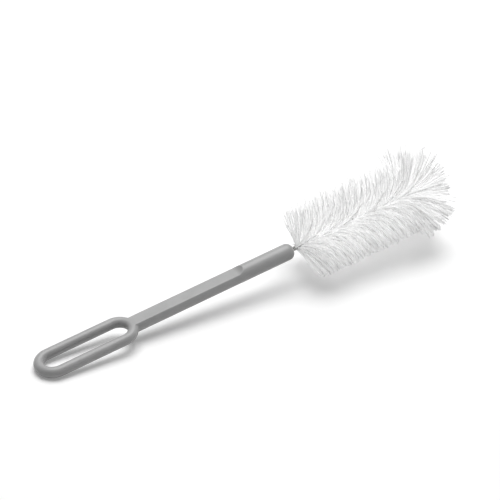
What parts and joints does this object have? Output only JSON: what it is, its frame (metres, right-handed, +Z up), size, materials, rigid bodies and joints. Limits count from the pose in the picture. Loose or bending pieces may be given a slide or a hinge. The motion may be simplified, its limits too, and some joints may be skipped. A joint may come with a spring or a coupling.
{
  "type": "bottle brush",
  "caption": "Lying bottle brush with a moulded looped handle, a twisted wire core, a round head of white filaments and a wider fanned tuft at the tip.",
  "frame": {"origin": "on the surface that the brush lies on, under the middle of its bounding box", "axes": "+X along the brush towards its head, +Y across it, +Z up; the brush lies on its loop and on the first rim of its head, so its own axis rises towards the tip by 6.4 degrees"},
  "size_m": [0.293, 0.06, 0.0625],
  "materials": {
    "handle_plastic": "satin moulded polypropylene",
    "wire_steel": "galvanised drawn wire",
    "filament_nylon": "translucent white nylon filament"
  },
  "bodies": {
    "root": {"handle": "handle_plastic", "core_wire": "wire_steel", "head_filaments": "filament_nylon", "tip_filaments": "filament_nylon"}
  },
  "joints": []
}
